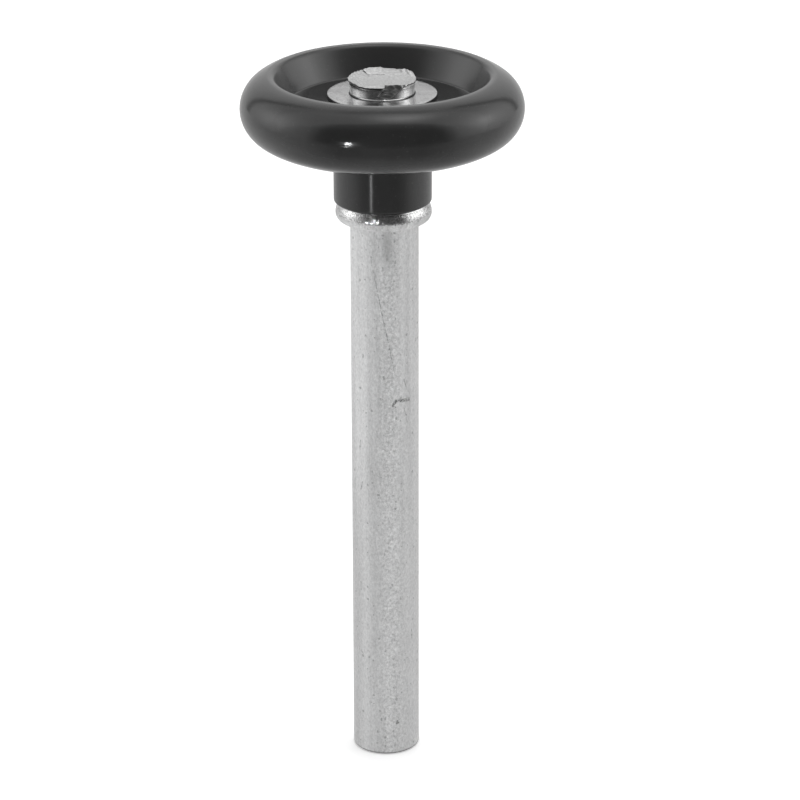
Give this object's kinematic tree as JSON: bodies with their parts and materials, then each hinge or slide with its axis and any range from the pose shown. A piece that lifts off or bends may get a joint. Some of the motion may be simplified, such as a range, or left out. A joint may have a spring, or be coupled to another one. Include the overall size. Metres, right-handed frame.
{
  "type": "garage door roller",
  "caption": "Garage door roller: round-tread recessed nylon wheel with a long hub, turning freely on a collared steel stem with a peened tip and washer.",
  "frame": {"origin": "centre of the stem's plain end face", "axes": "+Z along the stem, from its plain end towards the wheel"},
  "size_m": [0.0456, 0.0456, 0.1185],
  "materials": {
    "zinc_steel": "satin zinc plate, drawn and lightly pitted",
    "zinc_washer": "matte zinc plate",
    "black_nylon": "glossy moulded black"
  },
  "bodies": {
    "axle": {"stem": "zinc_steel", "washer": "zinc_washer"},
    "wheel": {"wheel": "black_nylon"}
  },
  "joints": [
    {"name": "wheel_spin", "type": "hinge", "parent": "axle", "child": "wheel", "pos_m": [0, 0, 0.113], "axis": [0, 0, 1], "continuous": true}
  ]
}
